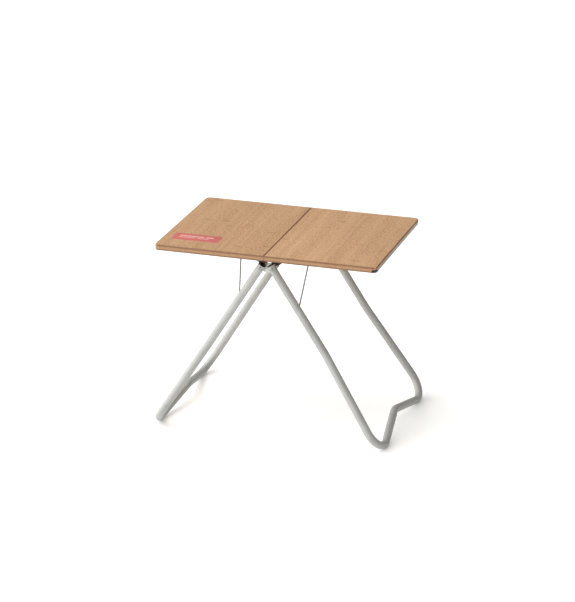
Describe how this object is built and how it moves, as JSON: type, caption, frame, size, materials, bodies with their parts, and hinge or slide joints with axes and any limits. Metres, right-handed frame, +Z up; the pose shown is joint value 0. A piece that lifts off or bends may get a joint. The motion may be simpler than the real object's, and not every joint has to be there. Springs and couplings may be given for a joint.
{
  "type": "folding tray table",
  "caption": "Low folding table: two hinged bamboo boards with rounded corners on two splayed bent-tube leg frames, held open by wire stays.",
  "frame": {"origin": "on the floor under the middle of the open table", "axes": "+X across the seam between the boards, +Y along the seam towards the back, +Z up"},
  "size_m": [0.5026, 0.3392, 0.4002],
  "materials": {
    "bamboo": "clear-coated laminated bamboo, satin",
    "end_metal": "brushed aluminium, satin",
    "label_film": "printed film, soft gloss",
    "bumper_rubber": "moulded rubber, matt",
    "anodised_tube": "clear anodised aluminium, matt silver",
    "plug_plastic": "moulded plastic, matt black",
    "hub_metal": "stamped aluminium, satin",
    "fastener_steel": "plated steel, satin",
    "stay_wire": "drawn stainless wire, satin",
    "bush_plastic": "moulded plastic, matt",
    "black_plastic": "moulded plastic, matt black"
  },
  "bodies": {
    "hub": {"left_pivot_rod": "fastener_steel", "right_pivot_rod": "fastener_steel", "front_hub_plate": "hub_metal", "rear_hub_plate": "hub_metal", "front_washers": "fastener_steel", "rear_washers": "fastener_steel", "retaining_rings": "fastener_steel"},
    "left_half": {"left_board": "bamboo", "left_end_strip": "end_metal", "left_front_bracket": "black_plastic", "left_rear_bracket": "black_plastic", "left_bracket_screws": "fastener_steel", "left_front_hook": "black_plastic", "left_rear_hook": "black_plastic", "left_hook_screws": "fastener_steel", "label": "label_film"},
    "left_leg": {"left_leg_tube": "anodised_tube", "left_tube_plugs": "plug_plastic", "left_stay_bushes": "bush_plastic"},
    "left_wire": {"left_stay": "stay_wire"},
    "right_half": {"right_board": "bamboo", "right_end_strip": "end_metal", "right_front_bracket": "black_plastic", "right_rear_bracket": "black_plastic", "right_bracket_screws": "fastener_steel", "right_front_hook": "black_plastic", "right_rear_hook": "black_plastic", "right_hook_screws": "fastener_steel", "corner_bumper": "bumper_rubber"},
    "right_leg": {"right_leg_tube": "anodised_tube", "right_tube_plugs": "plug_plastic", "right_stay_bushes": "bush_plastic"},
    "right_wire": {"right_stay": "stay_wire"}
  },
  "joints": [
    {"name": "left_board_fold", "type": "hinge", "parent": "hub", "child": "left_half", "pos_m": [-0.0125, 0, 0.369], "axis": [0, -1, 0], "range_deg": [0, 90]},
    {"name": "left_leg_fold", "type": "hinge", "parent": "hub", "child": "left_leg", "pos_m": [-0.0125, 0, 0.369], "axis": [0, -1, 0], "range_deg": [0, 33]},
    {"name": "left_stay_swing", "type": "hinge", "parent": "left_leg", "child": "left_wire", "pos_m": [-0.06422, 0, 0.28813], "axis": [0, -1, 0], "range_deg": [0, 142]},
    {"name": "right_board_fold", "type": "hinge", "parent": "hub", "child": "right_half", "pos_m": [0.0125, 0, 0.369], "axis": [0, 1, 0], "range_deg": [0, 90]},
    {"name": "right_leg_fold", "type": "hinge", "parent": "hub", "child": "right_leg", "pos_m": [0.0125, 0, 0.369], "axis": [0, 1, 0], "range_deg": [0, 33]},
    {"name": "right_stay_swing", "type": "hinge", "parent": "right_leg", "child": "right_wire", "pos_m": [0.06422, 0, 0.28813], "axis": [0, 1, 0], "range_deg": [0, 142]}
  ],
  "couplings": [
    {"joint": "left_leg_fold", "follows": "left_board_fold", "ratio": 0.36222},
    {"joint": "left_stay_swing", "follows": "left_board_fold", "ratio": 1.5748},
    {"joint": "right_leg_fold", "follows": "right_board_fold", "ratio": 0.36222},
    {"joint": "right_stay_swing", "follows": "right_board_fold", "ratio": 1.5748}
  ]
}
